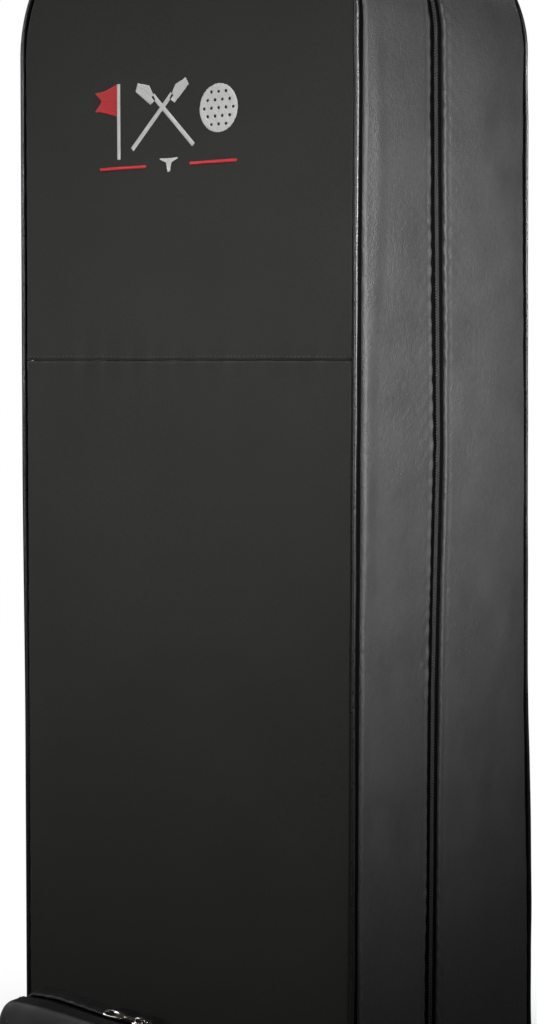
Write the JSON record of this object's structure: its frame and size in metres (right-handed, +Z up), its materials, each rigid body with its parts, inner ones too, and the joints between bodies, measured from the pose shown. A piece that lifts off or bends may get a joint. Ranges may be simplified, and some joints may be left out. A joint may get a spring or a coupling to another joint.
{
  "type": "golf travel case",
  "caption": "Upright soft-sided travel case for a golf bag: zipped front half hinged at a moulded base tub, shoe pocket, rear wheels, handles.",
  "frame": {"origin": "the middle of the base tub's flat underside", "axes": "+Z up, -Y the front with the shoe pocket, +X to the right seen from the front"},
  "size_m": [0.4157, 0.382, 1.3385],
  "materials": {
    "panel_fabric": "matt woven polyester",
    "gusset_fabric": "satin fine-grained nylon",
    "piping_vinyl": "semi-gloss vinyl",
    "zip_tape": "matt knitted tape",
    "zip_teeth": "semi-gloss nylon coil",
    "webbing": "ribbed webbing",
    "grip_pad": "padded woven wrap",
    "foam": "lining over foam",
    "board": "grained board",
    "tub_plastic": "textured moulded plastic",
    "buckle_plastic": "satin acetal",
    "wheel_core": "satin nylon",
    "wheel_tyre": "matt urethane",
    "steel": "zinc plated",
    "nickel": "bright nickel"
  },
  "bodies": {
    "case_shell": {"base_tub": "tub_plastic", "base_board": "board", "hinge_strip": "webbing", "back_panel": "panel_fabric", "back_board": "board", "rear_piping": "piping_vinyl", "rear_gusset": "gusset_fabric", "rear_zip_tape": "zip_tape", "rear_zip_teeth": "zip_teeth", "rear_crown_pad": "foam", "wheel_housing_left": "tub_plastic", "wheel_housing_right": "tub_plastic", "axle_left": "steel", "axle_right": "steel", "skid_rail_left": "tub_plastic", "skid_rail_right": "tub_plastic", "rail_screw_left_low": "steel", "rail_screw_left_middle": "steel", "rail_screw_left_high": "steel", "rail_screw_right_low": "steel", "rail_screw_right_middle": "steel", "rail_screw_right_high": "steel", "lower_strap_left": "webbing", "lower_strap_right": "webbing", "lower_buckle_socket": "buckle_plastic", "upper_strap_left": "webbing", "upper_strap_right": "webbing", "upper_buckle_socket": "buckle_plastic", "haul_handle_webbing": "webbing", "haul_handle_grip": "grip_pad", "carry_handle_webbing": "webbing", "carry_handle_grip": "grip_pad"},
    "front_cover": {"front_panel_upper": "panel_fabric", "front_panel_lower": "panel_fabric", "front_piping": "piping_vinyl", "front_gusset": "gusset_fabric", "front_zip_tape": "zip_tape", "front_zip_teeth": "zip_teeth", "front_crown_pad": "foam", "pocket_collar": "panel_fabric", "pocket_zip_rear": "zip_tape"},
    "pocket_flap": {"pocket_front": "panel_fabric", "pocket_zip_front": "zip_tape"},
    "wheel_left": {"wheel_hub_left": "wheel_core", "wheel_tyre_left": "wheel_tyre", "wheel_bearing_left_outer": "steel", "wheel_bearing_left_inner": "steel"},
    "wheel_right": {"wheel_hub_right": "wheel_core", "wheel_tyre_right": "wheel_tyre", "wheel_bearing_right_outer": "steel", "wheel_bearing_right_inner": "steel"},
    "upper_slider": {"upper_slider": "nickel"},
    "upper_pull": {"upper_pull": "nickel"},
    "lower_slider": {"lower_slider": "nickel"},
    "lower_pull": {"lower_pull": "nickel"},
    "pocket_slider": {"pocket_slider": "nickel"},
    "pocket_pull": {"pocket_pull": "nickel"},
    "upper_buckle_plug": {"upper_buckle_plug": "buckle_plastic"},
    "lower_buckle_plug": {"lower_buckle_plug": "buckle_plastic"}
  },
  "joints": [
    {"name": "lid_hinge", "type": "hinge", "parent": "case_shell", "child": "front_cover", "pos_m": [0, -0.1443, 0.085], "axis": [1, 0, 0], "range_deg": [0, 90]},
    {"name": "pocket_hinge", "type": "hinge", "parent": "front_cover", "child": "pocket_flap", "pos_m": [0, -0.165, 0.15], "axis": [1, 0, 0], "range_deg": [0, 90]},
    {"name": "wheel_left_spin", "type": "hinge", "parent": "case_shell", "child": "wheel_left", "pos_m": [-0.128, 0.128, 0.0325], "axis": [1, 0, 0], "continuous": true},
    {"name": "wheel_right_spin", "type": "hinge", "parent": "case_shell", "child": "wheel_right", "pos_m": [0.128, 0.128, 0.0325], "axis": [1, 0, 0], "continuous": true},
    {"name": "upper_slider_slide", "type": "slide", "parent": "case_shell", "child": "upper_slider", "axis": [-0.0073, 0, 1], "range_m": [0, 0.35]},
    {"name": "upper_pull_swing", "type": "hinge", "parent": "upper_slider", "child": "upper_pull", "pos_m": [-0.18866, -0.024, 0.79999], "axis": [0, 1, 0], "range_deg": [0, 150]},
    {"name": "lower_slider_slide", "type": "slide", "parent": "case_shell", "child": "lower_slider", "axis": [-0.0073, 0, 1], "range_m": [-0.62, 0]},
    {"name": "lower_pull_swing", "type": "hinge", "parent": "lower_slider", "child": "lower_pull", "pos_m": [-0.18826, -0.024, 0.74499], "axis": [0, 1, 0], "range_deg": [0, 150]},
    {"name": "pocket_slider_slide", "type": "slide", "parent": "front_cover", "child": "pocket_slider", "axis": [1, 0, 0], "range_m": [-0.1, 0.148]},
    {"name": "pocket_pull_swing", "type": "hinge", "parent": "pocket_slider", "child": "pocket_pull", "pos_m": [-0.024, -0.165, 0.3134], "axis": [0, 1, 0], "range_deg": [0, 150]},
    {"name": "upper_buckle_plug_slide", "type": "slide", "parent": "case_shell", "child": "upper_buckle_plug", "axis": [1, 0, 0], "range_m": [0, 0.04]},
    {"name": "lower_buckle_plug_slide", "type": "slide", "parent": "case_shell", "child": "lower_buckle_plug", "axis": [1, 0, 0], "range_m": [0, 0.04]}
  ]
}
